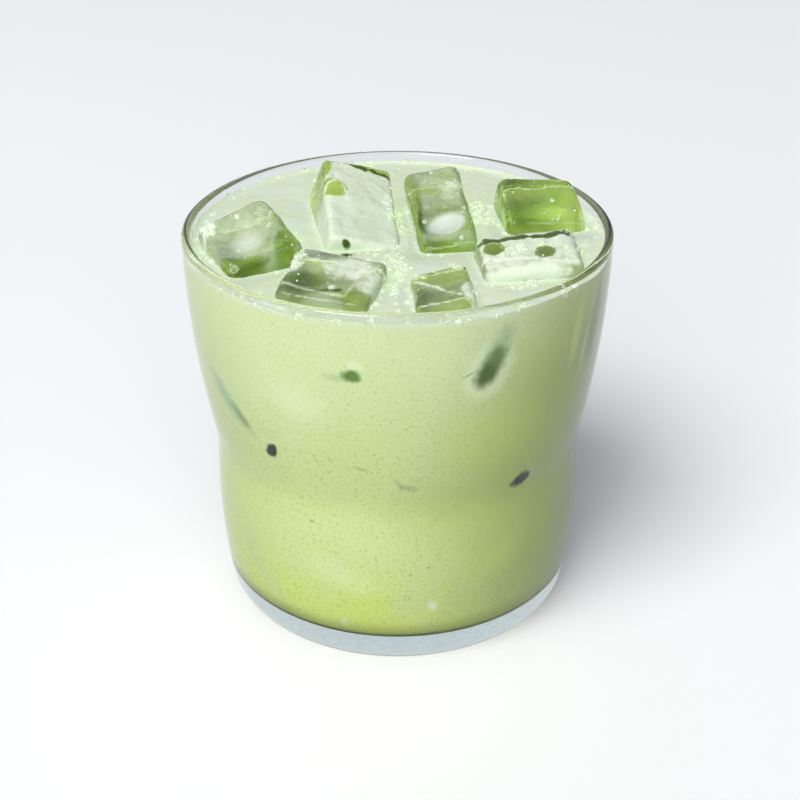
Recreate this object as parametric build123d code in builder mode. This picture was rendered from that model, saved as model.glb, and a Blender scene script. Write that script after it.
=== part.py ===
"""An iced matcha latte in a clear stacking tumbler.

The glass is one revolved piece with a thick base, a slight waist and a gentle
flare.  The drink fills it to just below the rim, and seven ice cubes float in
the drink with their tops above it.  Millimetres, +Z up, origin on the axis
where the glass stands.
"""
import os
from dataclasses import dataclass

from build123d import *

# Glass, outside
rim_radius = 45.0
glass_height = 87.7
waist_radius = 39.7
waist_height = 40.5
foot_radius = 37.2
body_swell = 1.4
heel_round = 7.0
waist_round = 25.0

# Glass, inside
rim_wall = 1.9
waist_wall = 2.3
foot_wall = 2.8
base_thickness = 6.6
floor_round = 6.0
rim_round = 0.8

# Recess under the glass, inside its foot ring
foot_ring_width = 3.0
recess_depth = 1.0
recess_slope = 30

# Drink
headspace = 2.7
drink_gap = 0.1

# Ice
ice_edge = 20.0
ice_wall_gap = 0.4
ice_gap = 0.1
dimple_depth = 1.6

drink_level = glass_height - headspace
room_above_rim = 2 * ice_edge


@dataclass(frozen=True)
class IceCube:
    """One cube: place and size in ice edges, turns in degrees, rounds and dish in mm."""

    right: float
    back: float
    sunk: float
    size: tuple
    turns: tuple
    edge_round: float
    dimple_radius: float = 0.0
    dimple_place: tuple = (0, 0)


ICE_CUBES = [
    # left, with a dished top
    IceCube(-1.435, -0.39, 0.225, (0.85, 1.01, 1.00), (16, -11, 28), 2.6, 6.5, (-1.2, -2.2)),
    # back left, flat, with one corner in the air
    IceCube(-0.47, 0.405, 0.045, (0.81, 1.45, 0.63), (14, 17, 5), 1.5),
    # back middle, with a dished top
    IceCube(0.50, 0.345, 0.21, (0.63, 1.39, 1.00), (17, -7, 8), 2.2, 5.0, (-0.6, -4.4)),
    # back right
    IceCube(1.51, 0.58, 0.20, (0.89, 0.95, 0.87), (11, 5, 6), 2.6),
    # front right
    IceCube(1.34, -0.695, 0.26, (1.04, 0.73, 0.90), (11, -2.5, 8), 2.2),
    # front middle
    IceCube(0.505, -1.505, 0.31, (0.61, 0.79, 0.90), (1, -11, 4.5), 1.8),
    # front left
    IceCube(-0.645, -1.31, 0.28, (0.95, 0.88, 0.90), (9, 2, -14.5), 1.8),
]


def tumbler_curve(rim, waist, foot):
    """Draw one side of the tumbler: the flare above the waist, the swelling body below it."""
    TangentArc(rim, waist, tangent=(0, -1))
    SagittaArc(foot, waist, -body_swell)


def round_corner(sketch, corner, radius):
    """Round the corner of a sketch that is nearest to a point."""
    fillet(sketch.vertices().sort_by_distance(corner)[0], radius)


def cavity_face(gap):
    """Sketch half the glass's inside, drawn in by gap and open above the rim."""
    rim = (rim_radius - rim_wall - gap, glass_height)
    waist = (waist_radius - waist_wall - gap, waist_height)
    foot = (foot_radius - foot_wall - gap, base_thickness + gap)
    with BuildSketch(Plane.XZ) as face:
        with BuildLine():
            tumbler_curve(rim, waist, foot)
            above = (rim[0], rim[1] + room_above_rim)
            Polyline(foot, (0, foot[1]), (0, above[1]), above, rim)
        make_face()
        round_corner(face, waist, waist_round)
        round_corner(face, foot, floor_round - gap)
    return face.sketch


def rounded_block(size, edge_round):
    """Make a block with all its edges rounded."""
    with BuildPart() as block:
        Box(*size)
        fillet(block.edges(), edge_round)
    return block.part


# Glass
with BuildPart() as glass:
    with BuildSketch(Plane.XZ) as outside:
        with BuildLine():
            tumbler_curve((rim_radius, glass_height), (waist_radius, waist_height), (foot_radius, 0))
            Polyline((foot_radius, 0), (0, 0), (0, glass_height), (rim_radius, glass_height))
        make_face()
        round_corner(outside, (waist_radius, waist_height), waist_round)
        round_corner(outside, (foot_radius, 0), heel_round)
    revolve(axis=Axis.Z)

    add(cavity_face(0))
    revolve(axis=Axis.Z, mode=Mode.SUBTRACT)
    fillet(glass.edges().group_by(Axis.Z)[-1], rim_round)

    with BuildSketch(Plane.XY):
        Circle(foot_radius - heel_round - foot_ring_width)
    extrude(amount=recess_depth, taper=recess_slope, mode=Mode.SUBTRACT)

# Ice: each cube keeps clear of the wall, and leaves a pocket in the drink
with BuildPart() as ice_room:
    add(cavity_face(ice_wall_gap))
    revolve(axis=Axis.Z)

cubes = []
pockets = []
for number, cube in enumerate(ICE_CUBES, start=1):
    centre = (cube.right * ice_edge, cube.back * ice_edge, drink_level - cube.sunk * ice_edge)
    place = Location(centre, cube.turns)
    size = [share * ice_edge for share in cube.size]
    pocket_size = [length + 2 * ice_gap for length in size]
    top = size[2] / 2

    with BuildPart() as ice_cube:
        with Locations(place):
            add(rounded_block(size, cube.edge_round))
        if cube.dimple_radius:
            dish_radius = (cube.dimple_radius**2 + dimple_depth**2) / (2 * dimple_depth)
            dish_centre = Location((*cube.dimple_place, top - dimple_depth + dish_radius))
            with Locations(place * dish_centre):
                Sphere(dish_radius, mode=Mode.SUBTRACT)
        add(ice_room.part, mode=Mode.INTERSECT)
    ice_cube.part.label = f"ice_cube_{number}"
    cubes.append(ice_cube.part)
    pockets.append(place * rounded_block(pocket_size, cube.edge_round + ice_gap))

# Drink
with BuildPart() as drink:
    add(cavity_face(drink_gap))
    revolve(axis=Axis.Z)
    split(bisect_by=Plane.XY.offset(drink_level), keep=Keep.BOTTOM)
    for pocket in pockets:
        add(pocket, mode=Mode.SUBTRACT)

glass.part.label = "glass"
drink.part.label = "drink"

os.makedirs("parts", exist_ok=True)
for piece in [glass.part, drink.part, *cubes]:
    export_step(piece, f"parts/{piece.label}.step")
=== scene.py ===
"""Looks of an iced matcha latte in a clear stacking tumbler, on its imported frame.

Everything is in metres in the frame's own axes: +Z is up along the glass, +X is right and
+Y is the back.  A finished piece's object sits at the origin with its place in its mesh.
"""
import logging
import math
from dataclasses import dataclass, field
from enum import Enum

import bmesh
import bpy
import numpy as np
from bpy.types import ID, Material, Mesh, Node, NodeSocket, NodeTree, Object
from mathutils import Euler, Matrix, Vector, noise
from mathutils.bvhtree import BVHTree


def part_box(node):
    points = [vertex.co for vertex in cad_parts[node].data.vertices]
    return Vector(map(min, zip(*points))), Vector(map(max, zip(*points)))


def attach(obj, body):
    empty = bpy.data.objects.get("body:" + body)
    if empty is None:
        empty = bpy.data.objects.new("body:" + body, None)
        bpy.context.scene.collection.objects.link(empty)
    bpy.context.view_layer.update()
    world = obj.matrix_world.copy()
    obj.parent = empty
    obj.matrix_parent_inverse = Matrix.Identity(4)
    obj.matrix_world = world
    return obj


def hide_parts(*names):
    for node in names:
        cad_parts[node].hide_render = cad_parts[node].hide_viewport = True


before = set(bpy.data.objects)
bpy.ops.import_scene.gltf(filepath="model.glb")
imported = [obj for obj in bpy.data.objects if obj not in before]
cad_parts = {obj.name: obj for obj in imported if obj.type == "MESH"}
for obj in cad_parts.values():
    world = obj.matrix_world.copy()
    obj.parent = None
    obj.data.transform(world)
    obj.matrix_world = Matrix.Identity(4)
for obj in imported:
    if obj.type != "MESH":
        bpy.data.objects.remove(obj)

LOG = logging.getLogger("matcha_latte")
MM = 0.001
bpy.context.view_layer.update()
# How far the drink reaches into the glass and the ice, and how thick its open surface counts as
WALL_BITE = 0.15 * MM
ICE_BITE = 0.14 * MM
SURFACE_BAND = 1.6 * MM
CREASE = math.radians(38)
CORNERS = ((-1, -1), (1, -1), (1, 1), (-1, 1))


# Mesh helpers


def placed(name: str, data: ID) -> Object:
    """Make an object of a mesh, lamp or camera and link it to the scene."""
    made = bpy.data.objects.new(name, data)
    bpy.context.scene.collection.objects.link(made)
    return made


def soften(mesh: Mesh) -> None:
    """Shade all of a mesh smooth."""
    mesh.polygons.foreach_set("use_smooth", [True] * len(mesh.polygons))


def mesh_object(name: str, points: np.ndarray, faces: list) -> Object:
    """Make a smooth mesh object at the origin, its faces outwards.

    Args:
        name: the object's name.
        points: the vertices, one row each.
        faces: the faces as tuples of vertex numbers.

    Returns:
        The new object.
    """
    mesh = bpy.data.meshes.new(name)
    mesh.from_pydata([tuple(p) for p in points], [], faces)
    work = bmesh.new()
    work.from_mesh(mesh)
    bmesh.ops.recalc_face_normals(work, faces=work.faces)
    work.to_mesh(mesh)
    work.free()
    soften(mesh)
    return placed(name, mesh)


def lathe(name: str, outline: list, sides: int) -> Object:
    """Turn an outline from the axis to the axis into a closed shell round +Z.

    Args:
        name: the object's name.
        outline: (radius, height) pairs; the first and last are on the axis.
        sides: how many steps go round.

    Returns:
        The shell.
    """
    angles = np.arange(sides) * 2 * math.pi / sides
    rings = [
        np.column_stack([r * np.cos(angles), r * np.sin(angles), np.full(sides, z)])
        for r, z in outline[1:-1]
    ]
    points = np.vstack([[(0, 0, outline[0][1])], *rings, [(0, 0, outline[-1][1])]])
    last = len(points) - 1
    faces = []
    for side in range(sides):
        turn = (side + 1) % sides
        faces.append((0, 1 + turn, 1 + side))
        for ring in range(len(rings) - 1):
            low, high = 1 + ring * sides, 1 + (ring + 1) * sides
            faces.append((low + side, low + turn, high + turn, high + side))
        top = 1 + (len(rings) - 1) * sides
        faces.append((top + side, top + turn, last))
    return mesh_object(name, points, faces)


def baked(piece: Object, name: str) -> Object:
    """Swap an object and its modifiers for one plain mesh object.

    Args:
        piece: the object to evaluate; it is removed.
        name: the new object's name.

    Returns:
        The plain mesh object.
    """
    graph = bpy.context.evaluated_depsgraph_get()
    mesh = bpy.data.meshes.new_from_object(piece.evaluated_get(graph))
    bpy.data.objects.remove(piece)
    mesh.name = name
    return placed(name, mesh)


def carved(piece: Object, tools: list) -> Object:
    """Cut others out of a closed mesh.

    Args:
        piece: the mesh to cut; it is replaced.
        tools: the closed meshes to cut out.

    Returns:
        The cut mesh, under the same name.
    """
    for tool in tools:
        step = piece.modifiers.new("cut", "BOOLEAN")
        step.operation = "DIFFERENCE"
        step.solver = "MANIFOLD"
        step.object = tool
    return baked(piece, piece.name)


def points_of(piece: Object) -> np.ndarray:
    """Read a mesh's vertices as rows."""
    flat = np.empty(len(piece.data.vertices) * 3)
    piece.data.vertices.foreach_get("co", flat)
    return flat.reshape(-1, 3)


def normals_of(piece: Object) -> np.ndarray:
    """Read a mesh's vertex normals as rows."""
    flat = np.empty(len(piece.data.vertices) * 3, dtype=np.float32)
    piece.data.vertex_normals.foreach_get("vector", flat)
    return flat.reshape(-1, 3).astype(float)


def move_points(piece: Object, points: np.ndarray) -> None:
    """Write a mesh's vertices from rows."""
    piece.data.vertices.foreach_set("co", points.ravel())
    piece.data.update()


def paint(piece: Object, name: str, values: np.ndarray) -> None:
    """Store one number for each vertex under a name that materials read."""
    layer = piece.data.attributes.new(name, "FLOAT", "POINT")
    layer.data.foreach_set("value", values.astype(np.float32))


def grown(piece: Object, name: str, amount: float) -> Object:
    """Copy a mesh with its surface moved out along its normals by an amount."""
    made = placed(name, piece.data.copy())
    move_points(made, points_of(made) + normals_of(made) * amount)
    return made


def discard(pieces: list) -> None:
    """Remove helper objects."""
    for piece in pieces:
        bpy.data.objects.remove(piece)


def rumple(points: np.ndarray, length: float, seed: int) -> np.ndarray:
    """Smooth random numbers of about -1 to 1 at points.

    Args:
        points: the places, one row each.
        length: the size of one swell.
        seed: which pattern.

    Returns:
        One number for each point.
    """
    shift = Vector((seed * 7.31, seed * 3.77, seed * 5.93))
    return np.array([noise.noise(Vector(p) / length + shift) for p in points])


def smooth_step(values: np.ndarray, low: float, high: float) -> np.ndarray:
    """Ease from 0 at low to 1 at high."""
    share = np.clip((values - low) / (high - low), 0, 1)
    return share * share * (3 - 2 * share)


def spot_share(points: np.ndarray, spots: tuple, crisp: float = 0.3) -> np.ndarray:
    """How much spots cover points, seen from above.

    Args:
        points: the places, one row each.
        spots: (x, y, half width, half depth, amount) of each spot, in millimetres.
        crisp: how far out a spot stays full, from 0 at its middle to 1 at its edge.

    Returns:
        The largest amount at each point.
    """
    share = np.zeros(len(points))
    for x, y, wide, deep, amount in spots:
        across = (points[:, 0] / MM - x) / wide
        along = (points[:, 1] / MM - y) / deep
        cover = amount * (1 - smooth_step(np.hypot(across, along), crisp, 1.0))
        share = np.maximum(share, cover)
    return share


def line_share(points: np.ndarray, lines: tuple, seed: int) -> np.ndarray:
    """How much wavering lines cover points, seen from above.

    Args:
        points: the places, one row each.
        lines: (x, y, x, y, half width, amount) of each line, in millimetres.
        seed: how the lines waver.

    Returns:
        The largest amount at each point.
    """
    share = np.zeros(len(points))
    if not lines:
        return share
    waver = np.column_stack([rumple(points, 4 * MM, seed), rumple(points, 4 * MM, seed + 1)])
    flat = points[:, :2] / MM + waver * 0.9
    ragged = 1 + rumple(points, 1.5 * MM, seed + 2)
    for x1, y1, x2, y2, wide, amount in lines:
        start, along = np.array([x1, y1]), np.array([x2 - x1, y2 - y1])
        part = np.clip((flat - start) @ along / (along @ along), 0, 1)
        away = np.linalg.norm(flat - start - part[:, None] * along, axis=1) / (wide * ragged)
        share = np.maximum(share, amount * (1 - smooth_step(away, 0.4, 1.0)))
    return share


def tree_of(piece: Object) -> BVHTree:
    """Make a search tree of a mesh."""
    work = bmesh.new()
    work.from_mesh(piece.data)
    tree = BVHTree.FromBMesh(work)
    work.free()
    return tree


def distances(trees: list, points: np.ndarray) -> np.ndarray:
    """Measure how far each point is from the nearest of some surfaces."""
    gaps = [[tree.find_nearest(Vector(p))[3] for p in points] for tree in trees]
    return np.min(gaps, axis=0)


def dress(piece: Object, material: Material) -> None:
    """Give a whole piece one material."""
    piece.data.materials.clear()
    piece.data.materials.append(material)


def settle(piece: Object, slot: str, *nodes: str) -> None:
    """Attach a finished piece to the frame and report it.

    Args:
        piece: the piece.
        slot: the record's material slot; not used.
        nodes: the CAD nodes that it stands for.
    """
    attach(piece, "root")
    if nodes:
        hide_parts(*nodes)
    faces = len(piece.data.polygons)
    LOG.info("%s: %d faces, stands for %s", piece.name, faces, nodes or "no node")


# Material helpers


def add_node(tree: NodeTree, kind: str, sockets: dict, settings: dict) -> Node:
    """Add a node to a tree.

    Args:
        tree: the tree.
        kind: the node's type.
        sockets: values or links for its inputs, by name or number; a colour may be RGB only.
        settings: values for the node's own properties.

    Returns:
        The node.
    """
    made = tree.nodes.new(kind)
    for name, value in settings.items():
        setattr(made, name, value)
    for name, value in sockets.items():
        socket = made.inputs[name]
        if isinstance(value, NodeSocket):
            tree.links.new(value, socket)
        elif socket.type == "RGBA":
            socket.default_value = (*value, 1)
        else:
            socket.default_value = value
    return made


class Finish:
    """A material, or the room's light, that is built one shader node at a time."""

    def __init__(self, name: str, kind: str = "materials") -> None:
        """Start an empty material or world.

        Args:
            name: its name.
            kind: materials or worlds.
        """
        self.owner = getattr(bpy.data, kind).new(name)
        self.owner.use_nodes = True
        self.tree = self.owner.node_tree
        self.tree.nodes.clear()
        self.place = self.node("TexCoord").outputs["Object"]

    def node(self, kind: str, sockets: dict | None = None, **settings: object) -> Node:
        """Add a shader node by the name of its kind."""
        return add_node(self.tree, "ShaderNode" + kind, sockets or {}, settings)

    def math(self, kind: str, first: object, second: object) -> NodeSocket:
        """Combine two numbers."""
        return self.node("Math", {0: first, 1: second}, operation=kind).outputs[0]

    def times(self, first: object, second: object) -> NodeSocket:
        """Multiply two numbers."""
        return self.math("MULTIPLY", first, second)

    def most(self, first: object, *others: object) -> NodeSocket:
        """Take the largest of some numbers."""
        for other in others:
            first = self.math("MAXIMUM", first, other)
        return first

    def ease(self, value: object, low: float, high: float) -> NodeSocket:
        """Ease a number from 0 at low to 1 at high."""
        sockets = {"Value": value, "From Min": low, "From Max": high}
        made = self.node("MapRange", sockets, interpolation_type="SMOOTHSTEP")
        return made.outputs["Result"]

    def blend(self, share: object, first: object, second: object) -> NodeSocket:
        """Blend two colours."""
        sockets = {0: share, 6: first, 7: second}
        return self.node("Mix", sockets, data_type="RGBA").outputs[2]

    def speckle(self, length: float, detail: float = 2.0, warp: float = 0.0) -> NodeSocket:
        """Noise of about one swell a length, from 0 to 1."""
        sockets = {"Vector": self.place, "Scale": 1 / length, "Detail": detail, "Distortion": warp}
        return self.node("TexNoise", sockets).outputs["Fac"]

    def stored(self, name: str) -> NodeSocket:
        """Read a number stored on the piece's vertices."""
        return self.node("Attribute", attribute_name=name).outputs["Fac"]

    def bumps(self, height: object, depth: float) -> NodeSocket:
        """Turn a height of 0 to 1 into a bump of a depth in metres."""
        return self.node("Bump", {"Height": height, "Distance": depth}).outputs["Normal"]

    def show(self, shader: Node) -> Material:
        """Show a shader as the surface."""
        self.node("OutputMaterial", {"Surface": shader.outputs[0]})
        return self.owner

    def show_both(self, share: object, first: Node, second: Node) -> Material:
        """Show two shaders, with a share of the second, as the surface."""
        both = {0: share, 1: first.outputs[0], 2: second.outputs[0]}
        return self.show(self.node("MixShader", both))

    def show_clear(self, sockets: dict, tint: tuple) -> Material:
        """Show a clear surface that lets lamps through, with a tint."""
        clear = self.node("BsdfPrincipled", sockets)
        lamp = self.node("LightPath").outputs["Is Shadow Ray"]
        through = self.node("BsdfTransparent", {"Color": tint})
        return self.show_both(lamp, clear, through)


@dataclass(frozen=True)
class PressedGlass:
    """Clear pressed glass, a touch green where it is thick."""

    tint: tuple = (0.985, 0.995, 0.99)
    bend: float = 1.5
    gloss: float = 0.08
    lamp_tint: tuple = (0.96, 0.97, 0.97)

    def material(self) -> Material:
        """Build the material."""
        finish = Finish("pressed_glass")
        sockets = {
            "Base Color": self.tint,
            "Roughness": 0.0,
            "IOR": self.bend,
            "Specular IOR Level": self.gloss,
            "Transmission Weight": 1.0,
            "Normal": finish.bumps(finish.speckle(9 * MM), 0.02 * MM),
        }
        return finish.show_clear(sockets, self.lamp_tint)


@dataclass(frozen=True)
class StippledGlass:
    """The underside of the glass, pressed with a fine stipple that scatters what lies under it."""

    tint: tuple = (0.90, 0.95, 0.98)
    frost: tuple = (0.62, 0.68, 0.72)
    frosted: float = 0.18

    def material(self) -> Material:
        """Build the material."""
        finish = Finish("stippled_glass")
        grain = finish.ease(finish.speckle(1.2 * MM, 1.0), 0.1, 0.9)
        sockets = {
            "Base Color": self.frost,
            "Roughness": 0.4,
            "Normal": finish.bumps(finish.speckle(0.8 * MM), 0.15 * MM),
        }
        frost = finish.node("BsdfPrincipled", sockets)
        through = finish.node("BsdfTransparent", {"Color": self.tint})
        share = finish.times(grain, self.frosted)
        return finish.show_both(share, through, frost)


@dataclass(frozen=True)
class WetIce:
    """Clear melting ice, with a skin of milk where the vertices say so, painted shade on its back
    edges and in dark spots and lines, and painted highlights along its edges.
    """

    tint: tuple = (0.94, 0.985, 0.88)
    # The clear ice is darkened toward this second tint where its painted shade lies
    shaded_tint: tuple = (0.54, 0.64, 0.24)
    bend: float = 1.33
    gloss: float = 0.5
    milk: tuple = (0.64, 0.725, 0.56)
    haze: tuple = (0.36, 0.50, 0.15)
    pearl: tuple = (0.62, 0.69, 0.62)
    # Painted shade: the dark green along the back edges and in dark spots and lines
    ice_shade: tuple = (0.05, 0.10, 0.01)
    # Painted highlight: the pale colour of bright lines on the ice
    line: tuple = (0.80, 0.86, 0.74)
    lamp_tint: tuple = (0.93, 0.97, 0.86)

    def material(self) -> Material:
        """Build the material."""
        finish = Finish("wet_ice")
        broken = finish.math("SUBTRACT", finish.speckle(1.8 * MM, 4.0, 0.6), 0.5)
        white = finish.ease(finish.math("ADD", finish.stored("milk"), broken), 0.2, 0.9)
        patchy = finish.ease(finish.speckle(7 * MM, 2.0), 0.3, 0.65)
        # Painted highlights: glints along the rounded edges, in the milk colour
        white = finish.most(white, finish.times(finish.stored("glint"), patchy))
        inside = finish.ease(finish.speckle(6 * MM, 4.0, 1.2), 0.15, 0.75)
        skin = finish.most(white, finish.times(finish.stored("cloud"), inside))
        film = finish.blend(white, self.haze, self.milk)
        pearl = finish.stored("pearl")
        film = finish.blend(pearl, film, self.pearl)
        # Painted shade: the clear ice goes darker green, then the skin goes to the dark shade
        # colour
        ice_shade_share = finish.stored("ice_shade")
        clear = finish.blend(finish.ease(ice_shade_share, 0.0, 0.5), self.tint, self.shaded_tint)
        ice_shade = finish.ease(ice_shade_share, 0.45, 0.9)
        film = finish.blend(ice_shade, film, self.ice_shade)
        # Painted highlights: bright lines on the ice
        line = finish.stored("line")
        film = finish.blend(line, film, self.line)
        skin = finish.most(skin, pearl, ice_shade, line)
        ripples = finish.math("ADD", finish.speckle(5 * MM, 2.0, 0.4), finish.times(broken, 0.15))
        sockets = {
            "Base Color": finish.blend(skin, clear, film),
            "Roughness": 0.02,
            "IOR": self.bend,
            "Specular IOR Level": self.gloss,
            "Transmission Weight": finish.math("SUBTRACT", 1.0, skin),
            "Normal": finish.bumps(ripples, 0.5 * MM),
        }
        return finish.show_clear(sockets, self.lamp_tint)


class Face(Enum):
    """Which part of the drink a finish is for, and how wet it looks."""

    COVERED = 0.0
    OPEN = 0.5


@dataclass(frozen=True)
class MatchaMilk:
    """Milky matcha: paler on top, greener below, with swirls and fine specks. Its bottom colour is
    also lightened, as painted light against the shade on its down-facing base.
    """

    froth: tuple = (0.64, 0.74, 0.585)
    top: tuple = (0.63, 0.715, 0.41)
    middle: tuple = (0.58, 0.67, 0.30)
    # The bottom is a yellower green, and lighter as painted light against the shade on the
    # down-facing base
    bottom: tuple = (0.62, 0.74, 0.13)
    grain: tuple = (0.34, 0.46, 0.10)
    # rim and deep are painted shade on the walls of the ice pockets, darker where deeper
    rim: tuple = (0.52, 0.64, 0.20)
    deep: tuple = (0.24, 0.36, 0.045)
    shade: tuple = (0.012, 0.022, 0.004)
    level: float = 85.0 * MM
    floor: float = 6.6 * MM
    marks: tuple = ()

    def material(self, face: Face) -> Material:
        """Build the material for one part of the drink."""
        finish = Finish("matcha_" + face.name.lower())
        height = finish.node("SeparateXYZ", {0: finish.place}).outputs["Z"]
        cloud = finish.math("SUBTRACT", finish.speckle(24 * MM, 3.0, 1.4), 0.5)
        height = finish.math("ADD", height, finish.times(cloud, 40 * MM))
        upper = finish.ease(height, self.floor + 30 * MM, self.level)
        lower = finish.ease(height, self.floor - 4 * MM, self.floor + 22 * MM)
        colour = finish.blend(lower, self.bottom, self.middle)
        colour = finish.blend(upper, colour, self.top)
        grain = finish.ease(finish.speckle(0.6 * MM, 2.0, 0.2), 0.52, 0.74)
        fine = finish.math("SUBTRACT", 0.65, finish.times(upper, 0.4))
        colour = finish.blend(finish.times(grain, fine), colour, self.grain)
        pale = finish.ease(finish.speckle(0.9 * MM, 2.0, 0.4), 0.60, 0.80)
        colour = finish.blend(finish.times(pale, 0.3), colour, self.froth)
        # The froth share: foam on the open surface, with a painted highlight at the waterline
        # round the ice
        colour = finish.blend(finish.stored("froth"), colour, self.froth)
        # Painted shade on the walls of the ice pockets, darker where deeper
        pocket_shade = finish.stored("pocket_shade")
        pocket_shade_colour = finish.blend(pocket_shade, self.rim, self.deep)
        colour = finish.blend(finish.ease(pocket_shade, 0.0, 0.03), colour, pocket_shade_colour)
        colour = finish.blend(finish.stored("shade"), colour, self.shade)
        if face is Face.COVERED:
            # The marks paint shade, foam and tone on the covered sides
            for mark in self.marks:
                colour = finish.blend(mark.share(finish), colour, mark.colour)
        sockets = {
            "Base Color": colour,
            "Roughness": 0.2,
            "IOR": 1.35,
            "Specular IOR Level": face.value,
            "Normal": finish.bumps(finish.speckle(1.1 * MM, 3.0), 0.06 * MM),
        }
        return finish.show(finish.node("BsdfPrincipled", sockets))


@dataclass(frozen=True)
class BubbleSkin:
    """Small bubbles with patches of milk in their skins."""

    name: str
    patches: float
    least: float
    tint: tuple = (0.97, 0.99, 0.95)
    bend: float = 1.2
    milk: tuple = (0.60, 0.68, 0.54)
    lamp_tint: tuple = (0.95, 0.97, 0.9)

    def material(self) -> Material:
        """Build the material."""
        finish = Finish(self.name)
        film = finish.times(finish.ease(finish.speckle(0.9 * MM), 0.4, 0.65), self.patches)
        film = finish.most(film, self.least)
        sockets = {
            "Base Color": finish.blend(film, self.tint, self.milk),
            "Roughness": 0.03,
            "IOR": self.bend,
            "Transmission Weight": finish.math("SUBTRACT", 1.0, film),
        }
        return finish.show_clear(sockets, self.lamp_tint)


@dataclass(frozen=True)
class StudioFloor:
    """A plain pale floor: white to look at, and darker for the light that it bounces. Seen through
    the glass it glows instead: painted light, with painted shade near the glass.
    """

    seen: tuple = (0.95, 0.95, 0.96)
    bounced: tuple = (0.20, 0.20, 0.20)
    # through and under are colours the floor glows with where it is seen through the glass:
    # painted light in place of light that passes the glass, with under as painted shade near the
    # glass
    through: tuple = (0.78, 0.82, 0.84)
    under: tuple = (0.59, 0.65, 0.66)
    painted_shade_reach: float = 40 * MM

    def material(self) -> Material:
        """Build the material."""
        finish = Finish("studio_floor")
        straight, past_glass = direct_view(finish)
        colour = finish.blend(straight, self.bounced, self.seen)
        matt = finish.node("BsdfDiffuse", {"Color": colour})
        # Painted light: the floor glows where it is seen through the glass, darker near the glass
        # as painted shade
        flat = finish.node("VectorMath", {0: finish.place}, operation="LENGTH")
        away = finish.ease(flat.outputs["Value"], self.painted_shade_reach, 2 * self.painted_shade_reach)
        painted_glow_through_glass = finish.blend(away, self.under, self.through)
        glow = finish.node("Emission", {"Color": painted_glow_through_glass})
        return finish.show_both(past_glass, matt, glow)


def direct_view(finish: Finish) -> tuple:
    """Tell what is looked at from the light that lands on the object.

    Args:
        finish: where the nodes go.

    Returns:
        Two numbers: 1 where the view is direct, mirrored or through glass, and 1 where it
        is through glass.
    """
    path = finish.node("LightPath").outputs
    first = finish.math("LESS_THAN", path["Diffuse Depth"], 0.5)
    past = path["Is Transmission Ray"]
    straight = finish.most(path["Is Camera Ray"], path["Is Glossy Ray"], past)
    past_glass = finish.times(past, first)
    return finish.times(straight, first), past_glass


# The glass


@dataclass(frozen=True)
class WallCurve:
    """One face of the tumbler's wall: a flare above the waist and a swelling body below it."""

    rim: tuple
    waist: tuple
    foot: tuple
    foot_round: float
    swell: float = 1.4 * MM
    waist_blend: float = 1.16 * MM

    def flare(self, height: float) -> float:
        """Radius at a height on the arc that is upright at the rim."""
        across, along = self.rim[0] - self.waist[0], self.rim[1] - self.waist[1]
        bend = (across**2 + along**2) / (2 * across)
        drop = min(abs(self.rim[1] - height), bend)
        return self.rim[0] - bend + math.sqrt(bend**2 - drop**2)

    def body(self, height: float) -> float:
        """Radius at a height on the arc that swells between the waist and the foot."""
        across, along = self.waist[0] - self.foot[0], self.waist[1] - self.foot[1]
        chord = math.hypot(across, along)
        bend = (chord**2 / 4 + self.swell**2) / (2 * self.swell)
        inward = (bend - self.swell) / chord
        middle = (self.waist[0] + self.foot[0]) / 2 - along * inward
        level = (self.waist[1] + self.foot[1]) / 2 + across * inward
        return middle + math.sqrt(max(bend**2 - (height - level) ** 2, 0))

    def radius(self, height: float) -> float:
        """Radius of the wall at a height, without the rounding at the foot."""
        flare, body = self.flare(height), self.body(height)
        near = max(self.waist_blend - abs(flare - body), 0) / self.waist_blend
        return max(flare, body) + near**2 * self.waist_blend / 4

    def spot(self, bearing: float, height: float, lean: float) -> tuple:
        """Find a place on the wall and the way it faces.

        Args:
            bearing: degrees round the glass from the front, to the right.
            height: the height.
            lean: degrees that the place's upright is turned.

        Returns:
            The place, and a matrix of its sideways, upright and outward ways.
        """
        turn = math.radians(bearing)
        outward = Vector((math.sin(turn), -math.cos(turn), 0))
        slope = (self.radius(height + MM) - self.radius(height - MM)) / (2 * MM)
        normal = (outward - Vector((0, 0, slope))).normalized()
        sideways = Vector((0, 0, 1)).cross(normal).normalized()
        turned = Matrix.Rotation(math.radians(lean), 3, normal)
        axes = Matrix((turned @ sideways, turned @ normal.cross(sideways), normal)).transposed()
        return outward * self.radius(height) + Vector((0, 0, height)), axes

    def outline(self, top: float, steps: int) -> list:
        """List (radius, height) points from the flat foot up to a height.

        Args:
            top: where the outline ends.
            steps: how many points the upright part has.

        Returns:
            The points, upwards.
        """
        turns = [math.radians(a) for a in range(0, 90, 6)]
        low = [(self.foot[1] + self.foot_round * (1 - math.cos(a)), math.sin(a)) for a in turns]
        points = [(self.radius(z) - self.foot_round * (1 - share), z) for z, share in low]
        start = self.foot[1] + self.foot_round
        heights = [start + (top - start) * step / steps for step in range(steps + 1)]
        return points + [(self.radius(z), z) for z in heights]


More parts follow.
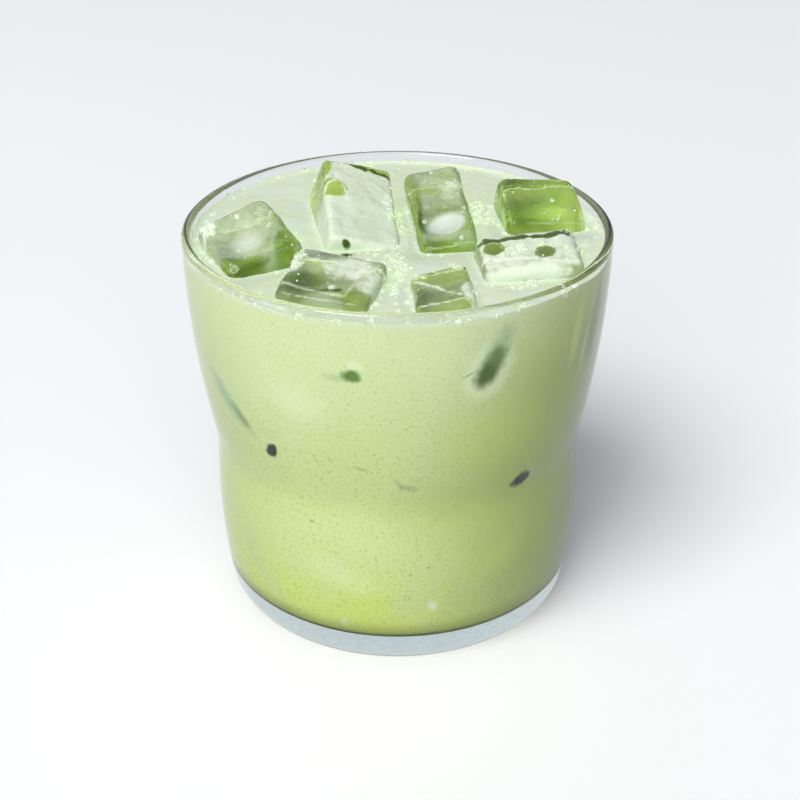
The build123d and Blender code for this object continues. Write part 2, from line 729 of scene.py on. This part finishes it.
@dataclass
class Tumbler:
    """The glass: a thick base, a slight waist and a gentle flare."""

    waist_radius: float = 39.7 * MM
    waist_height: float = 40.5 * MM
    foot_radius: float = 37.2 * MM
    heel_round: float = 7.0 * MM
    rim_wall: float = 1.9 * MM
    waist_wall: float = 2.3 * MM
    foot_wall: float = 2.8 * MM
    base_thickness: float = 6.6 * MM
    floor_round: float = 6.0 * MM
    ring_inner: float = 27.2 * MM
    recess_depth: float = 1.0 * MM
    ring_lip: float = 0.5 * MM
    sides: int = 256
    rim_radius: float = field(init=False)
    height: float = field(init=False)

    def __post_init__(self) -> None:
        """Take the overall size from the frame."""
        low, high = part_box("glass")
        self.rim_radius = (high.x - low.x) / 2
        self.height = high.z

    @property
    def outer(self) -> WallCurve:
        """The outside of the wall."""
        rim = (self.rim_radius, self.height)
        waist = (self.waist_radius, self.waist_height)
        return WallCurve(rim, waist, (self.foot_radius, 0.0), self.heel_round)

    def inner(self, out: float = 0.0) -> WallCurve:
        """The inside of the wall, moved out into the glass by an amount."""
        rim = (self.rim_radius - self.rim_wall + out, self.height)
        waist = (self.waist_radius - self.waist_wall + out, self.waist_height)
        foot = (self.foot_radius - self.foot_wall + out, self.base_thickness - out)
        return WallCurve(rim, waist, foot, self.floor_round + out)

    def build(self) -> None:
        """Build the glass and attach it to the frame."""
        lip = self.rim_wall / 2
        under = [(0, self.recess_depth), (self.ring_inner - 2 * self.ring_lip, self.recess_depth)]
        under += [(self.ring_inner - self.ring_lip, self.recess_depth - 0.15 * MM)]
        under += [(self.ring_inner, 0.15 * MM), (self.ring_inner + self.ring_lip, 0.0)]
        outside = self.outer.outline(self.height - lip, 70)
        turns = [math.radians(a) for a in range(15, 180, 15)]
        middle = self.rim_radius - lip
        rim = [(middle + lip * math.cos(a), self.height - lip + lip * math.sin(a)) for a in turns]
        inside = self.inner().outline(self.height - lip, 70)[::-1]
        outline = under + outside + rim + inside + [(0, self.base_thickness)]
        glass = lathe("tumbler_glass", outline, self.sides)
        dress(glass, PressedGlass().material())
        glass.data.materials.append(StippledGlass().material())
        flat = self.foot_radius - self.heel_round
        for face in glass.data.polygons:
            low = face.center.z < 1.01 * self.recess_depth
            face.material_index = int(low and face.center.xy.length < flat)
        settle(glass, "glass", "glass")


# The ice


@dataclass(frozen=True)
class Mark:
    """A soft patch painted on the side of the drink. Most are painted shade, where ice comes near
    the wall and where the side is turned from the light; others are pale foam and a yellower tone.

    Its bearing and lean are in degrees and its height and sizes in millimetres; core is how
    far out it stays full, and ragged how uneven its outline is.
    """

    wall: WallCurve
    bearing: float
    height: float
    wide: float
    tall: float
    lean: float
    colour: tuple
    strength: float = 1.0
    core: float = 0.3
    ragged: float = 0.5

    def share(self, finish: Finish) -> NodeSocket:
        """Build a number that is 0 outside the patch and its strength inside."""
        centre, axes = self.wall.spot(self.bearing, self.height * MM, self.lean)
        sockets = {
            0: finish.place,
            "Location": centre,
            "Rotation": axes.to_euler(),
            "Scale": (self.wide / 2 * MM, self.tall / 2 * MM, max(self.wide / 2, 6) * MM),
        }
        local = finish.node("Mapping", sockets, vector_type="TEXTURE").outputs[0]
        away = finish.node("VectorMath", {0: local}, operation="LENGTH").outputs["Value"]
        rough = finish.times(finish.math("SUBTRACT", finish.speckle(1.7 * MM), 0.5), self.ragged)
        share = finish.ease(finish.math("ADD", away, rough), 1.0, self.core)
        return finish.times(share, self.strength)


@dataclass
class IceCube:
    """A cube that stands out of the drink: its CAD solid, melted a little.

    Spots are (x, y, half width, half depth, amount) and lines are (x, y, x, y, half width,
    amount), in millimetres and seen from above.
    """

    node: str
    milk: float = 0.0
    cloud: float = 0.2
    milk_spots: tuple = ()
    wash: tuple = ()
    clear_spots: tuple = ()
    pearls: tuple = ()
    pearl_edge: float = 0.3
    # Painted highlights along the rounded edges
    glint: float = 0.6
    # Painted shade along the back-top edges, with its spots and lines
    ice_shade: float = 0.2
    ice_shade_spots: tuple = ()
    ice_shade_lines: tuple = ()
    # Painted highlights: bright lines on the ice
    lines: tuple = ()
    seed: int = 1
    grid: float = 0.5 * MM
    melt: float = 0.4 * MM

    def shape(self) -> Object:
        """Copy the CAD solid, remesh it evenly and melt it."""
        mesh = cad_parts[self.node].data.copy()
        cube = placed(self.node + "_ice", mesh)
        work = bmesh.new()
        work.from_mesh(mesh)
        bmesh.ops.remove_doubles(work, verts=work.verts, dist=0.001 * MM)
        work.to_mesh(mesh)
        work.free()
        remesh = cube.modifiers.new("even", "REMESH")
        remesh.mode = "VOXEL"
        remesh.voxel_size = self.grid
        relax = cube.modifiers.new("relax", "SMOOTH")
        relax.factor = 0.5
        relax.iterations = 5
        cube = baked(cube, self.node + "_ice")
        points = points_of(cube)
        broad = rumple(points, 7.5 * MM, self.seed)
        small = rumple(points, 3.2 * MM, self.seed + 20)
        depth = self.melt * (0.5 + 0.8 * broad + 0.3 * small)
        move_points(cube, points - normals_of(cube) * np.clip(depth, 0, None)[:, None])
        soften(cube.data)
        return cube

    def ridges(self, cube: Object, width: float) -> np.ndarray:
        """Find the middles of the rounded edges.

        Args:
            cube: the cube.
            width: how wide the line is.

        Returns:
            For each vertex, 1 on the line of an edge and 0 away from it.
        """
        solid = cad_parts[self.node].data
        faces = sorted(solid.polygons, key=lambda face: -face.area)
        first = faces[0].normal
        second = next(face.normal for face in faces if abs(face.normal.dot(first)) < 0.5)
        axes = np.array([first, second, first.cross(second)])
        parts = np.sort(np.abs(normals_of(cube) @ axes.T), axis=1)
        return 1 - smooth_step(parts[:, 2] - parts[:, 1], 0.1 * width, width)

    def build(self, level: float, finish: Material) -> Object:
        """Build the cube with its coat and finish, still to be attached to the frame."""
        cube = self.shape()
        self.coat(cube, level)
        dress(cube, finish)
        return cube

    def coat(self, cube: Object, level: float) -> None:
        """Store how milky and clear the cube's skin is, and where it has painted shade (dark) and
        painted highlights (bright), above the drink's level.
        """
        points = points_of(cube)
        upward = smooth_step(normals_of(cube)[:, 2], 0.35, 0.8)
        above = smooth_step(points[:, 2], level - 1.5 * MM, level)
        milk = np.maximum(self.milk, spot_share(points, self.milk_spots)) * upward
        milk = np.maximum(milk, spot_share(points, self.wash, 0.5))
        milk *= 1 - spot_share(points, self.clear_spots, 0.7)
        paint(cube, "milk", milk * above)
        paint(cube, "cloud", self.cloud * (1 - spot_share(points, self.clear_spots, 0.5)))
        paint(cube, "pearl", spot_share(points, self.pearls, self.pearl_edge) * upward)
        # Painted shade along the back-top edges, where the drink behind shows dark through the
        # ice, with dark spots and lines
        normals = normals_of(cube)
        back = smooth_step(normals[:, 1], 0.15, 0.4) * smooth_step(normals[:, 2], 0.1, 0.3)
        wavy = smooth_step(rumple(points, 4 * MM, self.seed + 40), -0.5, 0.1)
        ice_shade = self.ridges(cube, 1.0) * back * wavy * self.ice_shade
        ice_shade = np.maximum(ice_shade, spot_share(points, self.ice_shade_spots, 0.4))
        ice_shade = np.maximum(ice_shade, line_share(points, self.ice_shade_lines, self.seed + 50))
        paint(cube, "ice_shade", ice_shade * above)
        # Painted highlights: bright lines, and glints along the rounded edges
        paint(cube, "line", line_share(points, self.lines, self.seed + 60) * above)
        paint(cube, "glint", self.ridges(cube, 0.24) * self.glint * above * (1 - back * self.ice_shade))


# The drink


@dataclass
class Drink:
    """The milky drink: a solid up to its level, climbing a little where it wets things."""

    wall: WallCurve
    level: float
    bite: float
    sides: int = 320
    rings: int = 88
    wall_climb: float = 0.55 * MM
    ice_climb: float = 0.55 * MM
    climb_reach: float = 0.7 * MM
    ice_dip: float = 1.0 * MM
    dip_reach: float = 3.0 * MM
    pocket_shade_fade: tuple = (0.5 * MM, 9.0 * MM)
    wet_fade: tuple = (0.3 * MM, 0.9 * MM)
    heel_height: float = 20 * MM

    def surface_height(self, points: np.ndarray, ice: list) -> np.ndarray:
        """Height of the drink's surface at places seen from above.

        Args:
            points: the places, one row each.
            ice: search trees of the cubes.

        Returns:
            One height for each place.
        """
        gap = self.wall.radius(self.level) - np.hypot(points[:, 0], points[:, 1])
        flat = np.column_stack([points[:, 0], points[:, 1], np.full(len(points), self.level)])
        near = distances(ice, flat)
        swell = rumple(flat, 9 * MM, 3) * 0.12 * MM + rumple(flat, 2.2 * MM, 4) * 0.05 * MM
        climb = self.ice_climb * np.exp(-near / self.climb_reach)
        climb -= self.ice_dip * np.exp(-near / self.dip_reach)
        climb += self.wall_climb * np.exp(-np.clip(gap, 0, None) / self.climb_reach)
        return self.level + climb + swell

    def body(self, ice: list) -> Object:
        """Make the drink as one solid with no pockets, round the search trees of its ice."""
        outline = self.wall.outline(self.level, 74)
        reach = self.wall.radius(self.level)
        inward = [reach * (1 - ring / self.rings) for ring in range(1, self.rings)]
        outline = [(0, outline[0][1])] + outline
        outline += [(r, self.level) for r in inward] + [(0, self.level)]
        solid = lathe("drink_body", outline, self.sides)
        points = points_of(solid)
        on_top = points[:, 2] > self.level - 1e-7
        points[on_top, 2] = self.surface_height(points[on_top], ice)
        move_points(solid, points)
        return solid

    def build(self, cubes: list, milk: MatchaMilk) -> Object:
        """Build the drink round its ice and attach it to the frame.

        Args:
            cubes: the cubes that stand out of it.
            milk: the drink's finish.

        Returns:
            The drink.
        """
        trees = [tree_of(cube) for cube in cubes]
        solid = self.body(trees)
        skin = tree_of(solid)
        pockets = [grown(cube, "pocket", -self.bite) for cube in cubes]
        drink = carved(solid, pockets)
        drink.name = "drink_milk"
        discard(pockets)
        points = points_of(drink)
        depth = distances([skin], points)
        inside = depth > 0.02 * MM
        # Painted shade on the pocket walls, by how far they lie under the drink's skin
        pocket_shade = inside * (0.04 + 0.96 * smooth_step(depth, *self.pocket_shade_fade))
        facing = normals_of(drink)[:, 2]
        above = (points[:, 2] > self.level - SURFACE_BAND) & ~inside & (facing > 0.4)
        dots = spot_share(points, TOP_SPOTS, 0.5) * above
        low = smooth_step(-facing, 0.66, 0.84) * (1 - smooth_step(-facing, 0.97, 0.995))
        heel = 0.8 * low * ~inside * (points[:, 2] < self.heel_height)
        paint(drink, "pocket_shade", pocket_shade)
        paint(drink, "shade", np.maximum(dots, heel))
        spots = rumple(points, 5 * MM, 8)
        near = np.full(len(points), MM)
        near[above] = distances(trees, points[above])
        # A pale band at the waterline round the ice: foam, and a painted highlight where the drink
        # climbs the ice
        wet = 1 - smooth_step(near, *self.wet_fade)
        froth = np.maximum(0.55 + 0.4 * smooth_step(spots, -0.2, 0.4), wet)
        paint(drink, "froth", above * froth)
        soften(drink.data)
        drink.data.set_sharp_from_angle(angle=CREASE)
        dress(drink, milk.material(Face.COVERED))
        drink.data.materials.append(milk.material(Face.OPEN))
        for face in drink.data.polygons:
            face.material_index = int(all(above[corner] for corner in face.vertices))
        settle(drink, "drink", "drink")
        return drink


# The froth


@dataclass(frozen=True)
class Froth:
    """Bubbles that lie on the drink and on the ice, in drifts and along the waterlines."""

    name: str
    crowd: float
    smallest: float
    largest: float
    rarity: float
    sides: int
    rings: int
    seed: int
    skin: BubbleSkin
    sink: float = 0.35

    def tree(self, finish: Material) -> NodeTree:
        """Build the node tree that lays the bubbles and gives them a finish."""
        group = bpy.data.node_groups.new("froth", "GeometryNodeTree")
        for name, way in (("Surface", "INPUT"), ("Bubbles", "OUTPUT")):
            group.interface.new_socket(name, in_out=way, socket_type="NodeSocketGeometry")

        def add(kind: str, sockets: dict, **settings: object) -> Node:
            """Add a node to the group."""
            return add_node(group, kind, sockets, settings)

        surface = add("NodeGroupInput", {}).outputs[0]
        foam = add("GeometryNodeInputNamedAttribute", {"Name": "foam"}, data_type="FLOAT")
        sockets = {0: foam.outputs["Attribute"], 1: self.crowd}
        crowd = add("ShaderNodeMath", sockets, operation="MULTIPLY").outputs[0]
        sockets = {"Mesh": surface, "Density": crowd, "Seed": self.seed}
        scatter = add("GeometryNodeDistributePointsOnFaces", sockets)
        chance = add("FunctionNodeRandomValue", {"Seed": self.seed}, data_type="FLOAT")
        rare = add("ShaderNodeMath", {0: chance.outputs[1], 1: self.rarity}, operation="POWER")
        sockets = {"Value": rare.outputs[0], "To Min": self.smallest, "To Max": self.largest}
        size = add("ShaderNodeMapRange", sockets).outputs["Result"]
        down = add("ShaderNodeMath", {0: size, 1: -self.sink}, operation="MULTIPLY").outputs[0]
        sockets = {0: scatter.outputs["Normal"], "Scale": down}
        shift = add("ShaderNodeVectorMath", sockets, operation="SCALE").outputs[0]
        sockets = {"Geometry": scatter.outputs["Points"], "Offset": shift}
        sunk = add("GeometryNodeSetPosition", sockets)
        sockets = {"Segments": self.sides, "Rings": self.rings, "Radius": 1.0}
        ball = add("GeometryNodeMeshUVSphere", sockets)
        sockets = {"Points": sunk.outputs[0], "Instance": ball.outputs["Mesh"], "Scale": size}
        laid = add("GeometryNodeInstanceOnPoints", sockets)
        real = add("GeometryNodeRealizeInstances", {0: laid.outputs[0]})
        smooth = add("GeometryNodeSetShadeSmooth", {"Geometry": real.outputs[0]})
        done = add("GeometryNodeSetMaterial", {"Geometry": smooth.outputs[0], "Material": finish})
        add("NodeGroupOutput", {0: done.outputs[0]})
        return group

    def build(self, ground: Object) -> None:
        """Lay the bubbles on a helper mesh and attach them to the frame."""
        base = placed(self.name + "_ground", ground.data.copy())
        finish = self.skin.material()
        base.modifiers.new("froth", "NODES").node_group = self.tree(finish)
        bubbles = baked(base, self.name)
        dress(bubbles, finish)
        settle(bubbles, "drink")


def froth_ground(drink: Object, cubes: list, level: float) -> Object:
    """Copy the open surfaces that bubbles lie on, with how thickly they lie.

    Args:
        drink: the drink.
        cubes: the cubes that stand out of it.
        level: the height of the drink.

    Returns:
        A helper mesh with the attribute foam.
    """
    points, faces, foam, start = [], [], [], 0
    trees = [tree_of(cube) for cube in cubes]
    for piece in [drink, *cubes]:
        here, normals = points_of(piece), normals_of(piece)
        low = level - (SURFACE_BAND if piece is drink else 0.2 * MM)
        good = (here[:, 2] > low) & (normals[:, 2] > 0.35)
        share = spot_share(here, FOAM_SPOTS, 0.35)
        if piece is drink:
            near = np.full(len(here), 9 * MM)
            near[good] = distances(trees, here[good])
            share = np.maximum(share, 0.25 * (1 - smooth_step(near, 0.2 * MM, 1.1 * MM)))
            outward = np.hypot(here[:, 0], here[:, 1])
            share = np.maximum(share, WALL_FOAM * smooth_step(outward, *WALL_FOAM_BAND))
        share = np.where(good, share + 0.01, 0)
        for face in piece.data.polygons:
            if all(good[corner] for corner in face.vertices):
                faces.append([start + corner for corner in face.vertices])
        points.append(here)
        foam.append(share)
        start += len(here)
    ground = placed("froth_ground", bpy.data.meshes.new("froth_ground"))
    ground.data.from_pydata(np.vstack(points).tolist(), [], faces)
    paint(ground, "foam", np.concatenate(foam))
    return ground


# The scene


@dataclass(frozen=True)
class Camera:
    """A camera that looks down on the glass from the front."""

    tilt_down: float = 28.54
    distance: float = 376.26 * MM
    across: float = -0.526 * MM
    lift: float = -40.036 * MM
    lens: float = 72.0

    def build(self) -> None:
        """Place the camera and use it."""
        data = bpy.data.cameras.new("camera")
        data.lens = self.lens
        data.sensor_width = 36.0
        data.clip_start = 0.01
        camera = placed("camera", data)
        tilt = math.radians(self.tilt_down)
        ahead = Vector((0, math.cos(tilt), -math.sin(tilt)))
        upward = Vector((0, math.sin(tilt), math.cos(tilt)))
        camera.location = -ahead * self.distance - Vector((self.across, 0, 0)) - upward * self.lift
        camera.rotation_euler = Euler((math.radians(90 - self.tilt_down), 0, 0))
        bpy.context.scene.camera = camera


@dataclass(frozen=True)
class Studio:
    """Soft light from the front left, a pale room that is brighter in front, a pale floor."""

    key_share: float = 0.585
    key_size: float = 1.12
    key_from: tuple = (-0.324, -0.463, 0.825)
    key_distance: float = 2.4
    key_aim: float = 40 * MM
    key_tint: tuple = (1.0, 0.985, 0.955)
    room: float = 0.02
    room_front: float = 4.2
    front: tuple = (0.05, -0.90, 0.50)
    front_focus: float = 4.0
    room_behind: float = 0.6
    behind: tuple = (0.0, 0.97, 0.1)
    behind_focus: float = 2.0
    room_tint: tuple = (0.94, 0.965, 1.02)
    horizon: float = 0.3
    dim_right: float = 0.1
    least_through: float = 0.8
    floor_reach: float = 3.0
    floor_gap: float = 0.05 * MM

    def build(self) -> None:
        """Build the lamp, the room and the floor."""
        lamp = bpy.data.lights.new("key", "AREA")
        lamp.shape = "SQUARE"
        lamp.size = self.key_size
        lamp.color = self.key_tint
        lamp.energy = self.key_share * math.pi**2 * self.key_distance**2
        key = placed("key", lamp)
        toward = Vector(self.key_from).normalized()
        key.location = toward * self.key_distance + Vector((0, 0, self.key_aim))
        key.rotation_euler = toward.to_track_quat("Z", "Y").to_euler()
        key.visible_transmission = False
        self.build_room()
        self.build_floor()

    def build_room(self) -> None:
        """Light everything softly: plainly as light, and with darker sides as a mirrored view."""
        room = Finish("room", "worlds")
        bpy.context.scene.world = room.owner
        way = room.node("TexCoord").outputs["Generated"]
        front = self.glow(room, way, self.front, self.front_focus)
        behind = self.glow(room, way, self.behind, self.behind_focus)
        plain = room.math("ADD", room.times(front, self.room_front), self.room)
        plain = room.math("ADD", room.times(behind, self.room_behind), plain)
        parts = room.node("SeparateXYZ", {0: way}).outputs
        aside = room.times(room.ease(parts["X"], -0.1, 0.5), 1 - self.dim_right)
        kept = room.math("SUBTRACT", 1.0, aside)
        plain = room.times(plain, kept)
        rise = room.ease(parts["Z"], 0.02, 0.5)
        mirrored = room.math("ADD", room.times(rise, 1 - self.horizon), self.horizon)
        mirrored = room.times(mirrored, kept)
        straight, _ = direct_view(room)
        path = room.node("LightPath").outputs
        through = room.times(path["Is Transmission Ray"], self.least_through)
        view = room.most(mirrored, through, path["Is Camera Ray"])
        turn = {"Value": straight, "To Min": plain, "To Max": view}
        strength = room.node("MapRange", turn).outputs["Result"]
        sockets = {"Color": self.room_tint, "Strength": strength}
        light = room.node("Background", sockets)
        room.node("OutputWorld", {"Surface": light.outputs[0]})

    def glow(self, room: Finish, way: object, toward: tuple, focus: float) -> NodeSocket:
        """Build a patch of light: 1 in one direction, falling to 0 at right angles to it.

        Args:
            room: where the nodes go.
            way: the direction looked in.
            toward: where the patch is brightest.
            focus: how narrow it is.

        Returns:
            The brightness in the direction looked in.
        """
        ahead = tuple(Vector(toward).normalized())
        facing = room.node("VectorMath", {0: way, 1: ahead}, operation="DOT_PRODUCT")
        return room.math("POWER", room.most(facing.outputs["Value"], 0.0), focus)

    def build_floor(self) -> None:
        """Lay the floor just under the glass."""
        reach = self.floor_reach
        corners = [(x * reach, y * reach, -self.floor_gap) for x, y in CORNERS]
        floor = mesh_object("studio_floor", np.array(corners), [(0, 1, 2, 3)])
        dress(floor, StudioFloor().material())


# Painted shade that darkens the sides of the drink turned from the light, most of all the right
SIDE_SHADE = (0.42, 0.53, 0.15)
# Painted shade on the side of the drink, mostly where ice comes near the wall: two dark greens, a
# near black and a soft grey-green
SHADE_GREEN = (0.09, 0.18, 0.02)
SHADE_DARK = (0.045, 0.10, 0.008)
SHADE_BLACK = (0.004, 0.008, 0.0)
SHADE_GREY = (0.34, 0.48, 0.28)
FOAM = (0.74, 0.83, 0.60)
STRAW = (0.64, 0.73, 0.20)
SHADE = (0.16, 0.22, 0.06)
# Rows of Mark: bearing, height, wide, tall, lean, colour, strength, core, ragged
MARKS = [
    # The first three rows are painted shade on the sides turned from the light
    (62, 46, 84, 120, 0, SIDE_SHADE, 1, 0.35, 0.1),
    (12, 40, 34, 26, 0, SIDE_SHADE, 0.3, 0.1, 0.2),
    (-80, 46, 76, 120, 0, SIDE_SHADE, 0.35, 0.3, 0.1),
    (-15, 73.2, 9, 2.6, 0, SHADE_GREY, 0.6, 0.1),
    (-10.5, 76, 4.5, 4, 20, FOAM, 0.5, 0.2),
    (-11.6, 73.9, 5.4, 3.8, 0, SHADE_GREEN, 0.95, 0.35, 0.9),
    (-38.3, 51.6, 6, 4.6, 10, SHADE_GREY, 0.35, 0.3),
    (-38.3, 51.6, 4.8, 3.2, 50, SHADE_BLACK, 1, 0.55, 0.7),
    (-55, 59.6, 6.4, 21, 47, SHADE_GREY, 0.95, 0.2),
    (-49, 56.8, 4.2, 11, 45, SHADE_DARK, 0.5, 0.1),
    (24, 73.6, 12, 17, -28, FOAM, 0.55, 0.6),
    (26.6, 78.6, 6.4, 15, -30, SHADE_GREY, 0.7, 0.2),
    (24.6, 74.8, 6.6, 14, -30, SHADE_GREEN, 0.9, 0.3),
    (23.2, 72.8, 6.4, 8, -30, SHADE_DARK, 0.85, 0.3),
    (44, 44.4, 9, 4.2, -15, SHADE_GREY, 0.6, 0.2),
    (39.8, 44, 6.4, 4.4, 18, SHADE_BLACK, 1, 0.5, 0.7),
    (0, 48.8, 1.8, 5.6, 35, SHADE_GREY, 0.55, 0.2, 0.8),
    (3.4, 47.4, 6, 2.4, -15, SHADE_GREEN, 0.3, 0.2, 0.8),
    (-17.5, 11.3, 2.6, 4.2, 0, FOAM, 0.75, 0.2),
    (11.1, 16.7, 3.2, 4.2, 0, FOAM, 0.75, 0.2),
    (-27, 36, 2, 1, 0, SHADE_DARK, 0.5, 0.2),
    (9.5, 27, 0.9, 0.7, 0, SHADE_BLACK, 0.7, 0.2),
    (-10, 52, 4.5, 1.2, -15, SHADE_DARK, 0.3, 0.1),
    (18.5, 73.5, 0.8, 4, -65, SHADE_GREEN, 0.5, 0.2),
    (54.5, 76, 5, 22, -8, STRAW, 0.8, 0.2),
    (65, 74, 6, 26, -6, SHADE, 0.5, 0.3),
    (59.5, 70, 1.6, 16, -6, FOAM, 0.5, 0.2),
    (69.8, 42.5, 1.3, 11, -22, SHADE_BLACK, 0.7, 0.2),
    (30, 58, 34, 26, 0, STRAW, 0.28, 0.1),
    (33, 26, 22, 12, 30, STRAW, 0.25, 0.1),
    (-18, 24, 24, 10, -20, FOAM, 0.3, 0.1),
    (-28, 66, 20, 12, -15, FOAM, 0.35, 0.1),
    (-8, 12, 44, 12, 0, STRAW, 0.35, 0.2),
]

CUBES = [
    IceCube(
        "ice_cube_1",
        pearls=((-30.4, -11.6, 6.0, 6.0, 0.8),), pearl_edge=0.1, milk=0.1, cloud=0.48, glint=0.3,
        milk_spots=((-39, -7, 3, 5, 0.7),), ice_shade=0.3,
        ice_shade_spots=((-32, -19.5, 9, 4, 0.4), (-22.5, -15, 3, 6, 0.35)),
        clear_spots=((-32, -19.5, 8, 4.0, 0.9), (-22.5, -14.5, 3, 6, 0.9)),
        ice_shade_lines=((-41, -4, -29.5, 9, 0.5, 0.4), (-29, 9, -23.5, -9, 0.5, 0.4)),
        lines=((-40, -10, -39.4, -4.6, 0.5, 0.8), (-39.4, -4.6, -37.1, -6.8, 0.5, 0.8)), seed=1,
    ),
    IceCube(
        "ice_cube_2",
        milk=0.9, cloud=0.1, glint=0.35, ice_shade=0.9,
        clear_spots=((-17.5, 17, 3.6, 6, 1.0), (-13.5, 9, 3.2, 3.6, 1.0), (-5, 19.5, 7, 1.8, 0.8)),
        wash=((-7, -6, 26, 24, 1.0),),
        ice_shade_spots=(
            (-10.3, -8.0, 2.0, 1.5, 1.0), (-18.2, 21.5, 1.4, 1.8, 0.9), (-14.5, 12, 7, 11, 0.42),
        ),
        ice_shade_lines=((-13, 19.5, -1.5, 18.0, 1.0, 0.95), (-17.0, 16, -16.2, 6, 0.8, 0.6)),
        lines=((-15.2, 7.2, -13, 14.5, 0.5, 0.9), (-13, 14.5, -10.5, 5.9, 0.5, 0.9)), seed=2,
    ),
    IceCube(
        "ice_cube_3",
        pearls=((10.1, -1.4, 4.9, 4.9, 0.9),), pearl_edge=0.6, milk=0.15, cloud=0.35, ice_shade=0.9,
        milk_spots=((11, 9, 5, 8, 0.5),),
        clear_spots=((3.5, 0, 2.4, 12, 0.9), (9, -9, 7, 2.5, 0.9)),
        ice_shade_lines=((2.5, 17, 12.5, 17.5, 1.0, 0.8), (2.8, 16, 4.6, -9, 1.3, 0.6)),
        ice_shade_spots=((8, -10, 9, 4, 0.3), (3.5, 4, 2.5, 14, 0.4)), seed=3,
    ),
    IceCube(
        "ice_cube_4",
        milk=0.05, cloud=0.05, ice_shade=0.5, ice_shade_spots=((29, 17, 14, 6, 0.45), (29, 8, 15, 14, 0.3)),
        ice_shade_lines=((23.5, 14, 38, 15, 1.6, 0.55), (24, 14, 24.5, 3, 2.4, 0.45)), seed=4,
    ),
    IceCube(
        "ice_cube_5",
        milk=0.8, cloud=0.3, ice_shade=1.0, wash=((27, -24, 16, 5, 1.0),),
        clear_spots=((19.3, -15.2, 2.4, 2.4, 1.0), (29.5, -16.6, 2.4, 2.4, 1.0)),
        ice_shade_lines=((17.0, -12.8, 27, -11.6, 1.1, 1.0), (27, -11.6, 36.5, -9.6, 1.3, 1.0)),
        ice_shade_spots=((19.3, -15.2, 3.0, 3.0, 0.44), (29.5, -16.6, 3.0, 3.0, 0.44)),
        lines=((17, -19.0, 25, -18.6, 0.5, 0.9), (25, -18.6, 33, -20.0, 0.5, 0.9)),
        pearls=((37, -12.5, 4, 4, 0.9),), seed=5,
    ),
    IceCube(
        "ice_cube_6",
        milk=0.1, cloud=0.15, clear_spots=((4, -34, 3.5, 4, 0.8),), ice_shade=0.6,
        ice_shade_spots=((9, -27, 7, 6, 0.4), (4, -35, 4, 4, 0.3)),
        wash=((15, -34, 4, 5, 0.9),), lines=((3.5, -27, 12, -36.5, 0.5, 0.9),), seed=6,
    ),
    IceCube(
        "ice_cube_7",
        milk_spots=((-9, -25, 9, 7, 0.8), (-21, -24, 3.5, 7, 0.8)), milk=0.1, cloud=0.3,
        wash=((-4, -30, 6, 6, 0.7),), clear_spots=((-18, -30, 6, 5, 0.9),), ice_shade=0.7,
        ice_shade_lines=((-18.5, -32, -11, -33, 1.0, 0.9),),
        ice_shade_spots=((-8, -35.5, 4, 4, 0.4), (-20, -33, 6, 3, 0.35)),
        lines=((-22, -31, -9.8, -35, 0.5, 0.6), (-9.7, -35, -6, -22, 0.5, 0.5)), seed=7,
    ),
]

# Spots as in IceCube: dark ones on the drink, and drifts of froth on the drink and the ice
TOP_SPOTS = ((-10.3, -9.5, 1.7, 1.5, 1.0), (-5.4, 19.5, 1.2, 1.6, 0.7))
FOAM_SPOTS = (
    (-0.6, 9.5, 2.6, 7, 0.9),
    (17.9, 13, 4.2, 8, 0.8),
    (24.4, -15.5, 4.0, 3.0, 0.8),
    (22.6, -24.5, 7.5, 2.6, 0.8),
    (-20.3, -21, 3.5, 6, 0.8),
    (0.0, -17, 3.2, 17, 0.6),
    (36.5, -8, 4, 6, 0.6),
    (-39.5, -6, 2.6, 5, 0.5),
    (-4, -9, 7, 3, 0.4),
    (11, -23, 6, 2, 0.4),
)

# How thickly froth lies along the wall, and how far out that starts and is full
WALL_FOAM = 0.12
WALL_FOAM_BAND = (40.5 * MM, 42 * MM)
FROTH = [
    Froth(
        "froth_fine", crowd=5.0e6, smallest=0.10 * MM, largest=0.30 * MM, rarity=2.0,
        sides=6, rings=4, seed=11, skin=BubbleSkin("fine_froth", patches=0.8, least=0.95),
    ),
    Froth(
        "froth_bubbles", crowd=1.4e6, smallest=0.35 * MM, largest=1.0 * MM, rarity=3.0,
        sides=10, rings=7, seed=23, skin=BubbleSkin("bubble_skin", patches=0.5, least=0.05),
    ),
]


def main() -> None:
    """Build every piece in order."""
    logging.basicConfig(level=logging.INFO, format="%(name)s %(message)s")
    scene = bpy.context.scene
    scene.view_settings.view_transform = "Standard"
    scene.cycles.max_bounces = 24
    scene.cycles.transmission_bounces = 20
    scene.cycles.transparent_max_bounces = 24

    tumbler = Tumbler()
    tumbler.build()
    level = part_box("drink")[1].z
    ice_finish = WetIce().material()
    pieces = [cube.build(level, ice_finish) for cube in CUBES]
    side = tumbler.inner(WALL_BITE)
    marks = tuple(Mark(side, *row) for row in MARKS)
    drink = Drink(side, level, ICE_BITE).build(pieces, MatchaMilk(level=level, marks=marks))
    for cube, piece in zip(CUBES, pieces):
        settle(piece, "ice", cube.node)
    ground = froth_ground(drink, pieces, level)
    for froth in FROTH:
        froth.build(ground)
    discard([ground])
    Camera().build()
    Studio().build()


if __name__ == "__main__":
    main()
